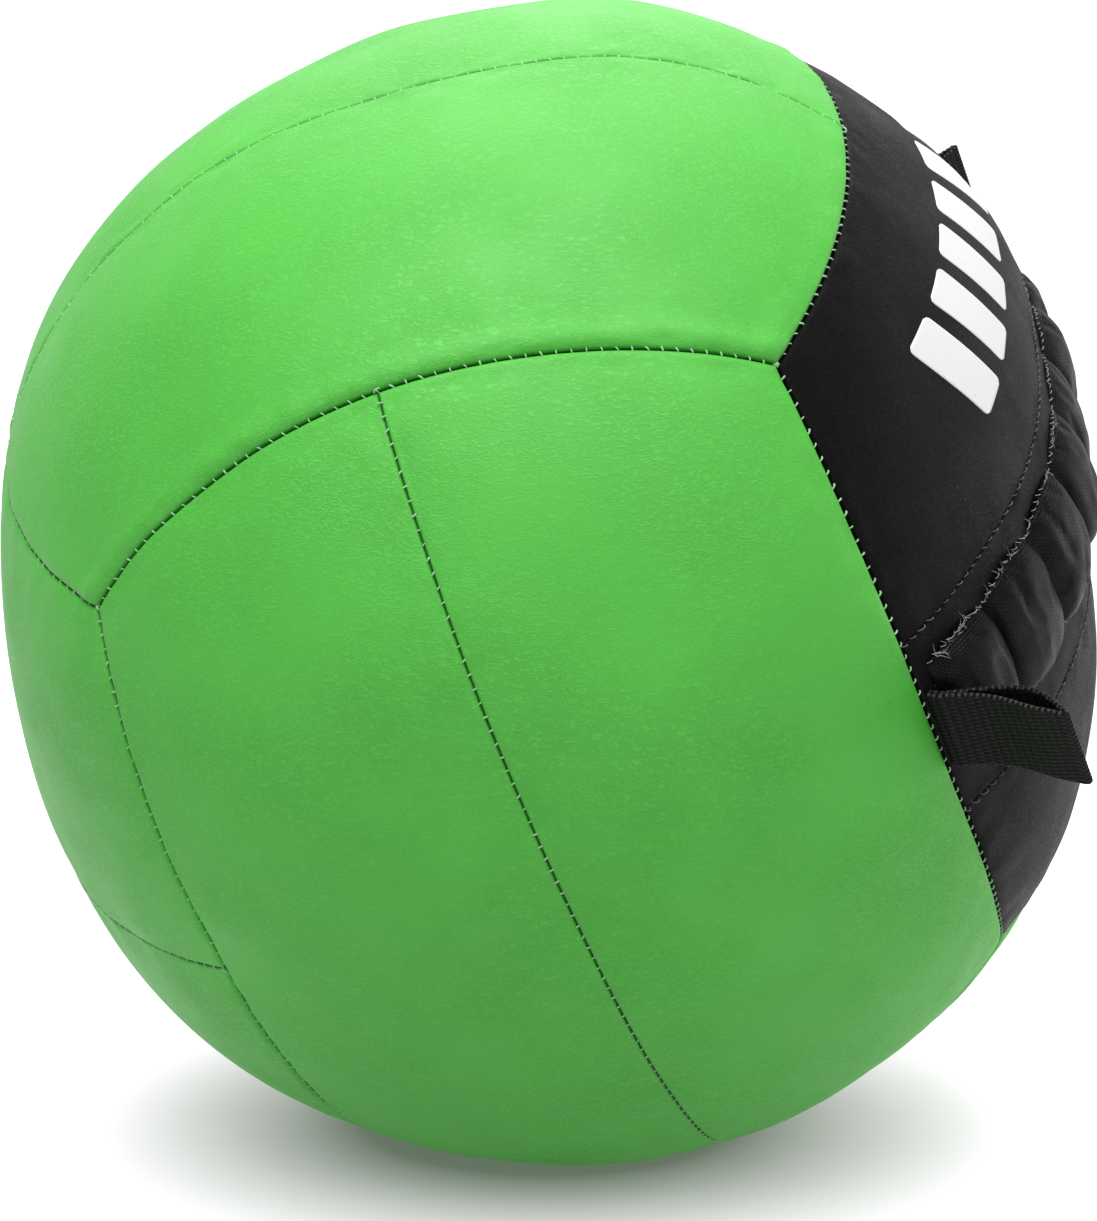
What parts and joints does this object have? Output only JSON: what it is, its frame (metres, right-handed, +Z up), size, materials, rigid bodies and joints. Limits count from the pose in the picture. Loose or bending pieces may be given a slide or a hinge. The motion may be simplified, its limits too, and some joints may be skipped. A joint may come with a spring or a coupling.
{
  "type": "medicine ball",
  "caption": "Stuffed exercise ball of curved sewn panels, with a ribbed grip pad between two webbing loops.",
  "frame": {"origin": "middle of the flat patch on which the ball has settled, at floor level", "axes": "+Z up; -Y towards the front panels; +X towards the dark grip face, which leans up to the right"},
  "size_m": [0.35, 0.35, 0.3465],
  "materials": {
    "green_vinyl": "satin",
    "black_vinyl": "satin",
    "woven_vinyl": "satin",
    "webbing": "matte",
    "green_thread": "matte",
    "black_thread": "matte",
    "white_thread": "matte",
    "white_ink": "satin",
    "backing_foam": "matte",
    "lining_cloth": "matte",
    "fibre_fill": "matte",
    "bag_cloth": "matte",
    "granules": "matte",
    "cord": "matte"
  },
  "bodies": {
    "ball": {"front_left_panel": "green_vinyl", "front_right_panel": "green_vinyl", "crown_front_panel": "green_vinyl", "crown_rear_panel": "green_vinyl", "left_upper_panel": "green_vinyl", "left_lower_panel": "green_vinyl", "rear_left_panel": "green_vinyl", "rear_right_panel": "green_vinyl", "base_front_panel": "green_vinyl", "base_rear_panel": "green_vinyl", "upper_strip": "black_vinyl", "middle_strip": "black_vinyl", "lower_strip": "black_vinyl", "front_left_backing": "backing_foam", "front_right_backing": "backing_foam", "crown_front_backing": "backing_foam", "crown_rear_backing": "backing_foam", "left_upper_backing": "backing_foam", "left_lower_backing": "backing_foam", "rear_left_backing": "backing_foam", "rear_right_backing": "backing_foam", "base_front_backing": "backing_foam", "base_rear_backing": "backing_foam", "upper_strip_backing": "backing_foam", "middle_strip_backing": "backing_foam", "lower_strip_backing": "backing_foam", "edge_seam_threads": "green_thread", "split_seam_threads": "green_thread", "strip_seam_threads": "black_thread", "closing_seam_thread": "green_thread", "grip_pad_cover": "woven_vinyl", "grip_pad_foam": "backing_foam", "grip_pad_threads": "white_thread", "front_loop_tail": "webbing", "rear_loop_tail": "webbing", "printed_bars": "white_ink", "upper_lining": "lining_cloth", "lower_lining": "lining_cloth", "upper_fill": "fibre_fill", "lower_fill": "fibre_fill", "ballast_bag": "bag_cloth", "ballast_granules": "granules", "ballast_tie": "cord"},
    "front_tab": {"front_loop": "webbing"},
    "rear_tab": {"rear_loop": "webbing"}
  },
  "joints": [
    {"name": "front_loop_bend", "type": "hinge", "parent": "ball", "child": "front_tab", "pos_m": [0.10922, -0.13735, 0.14991], "axis": [-0.3564, -0.4147, 0.8373], "range_deg": [-84, 36], "stiffness_Nm_per_rad": 0.02},
    {"name": "rear_loop_bend", "type": "hinge", "parent": "ball", "child": "rear_tab", "pos_m": [0.09573, 0.11292, 0.26814], "axis": [0.3564, 0.4147, -0.8373], "range_deg": [-95, 22], "stiffness_Nm_per_rad": 0.02}
  ]
}
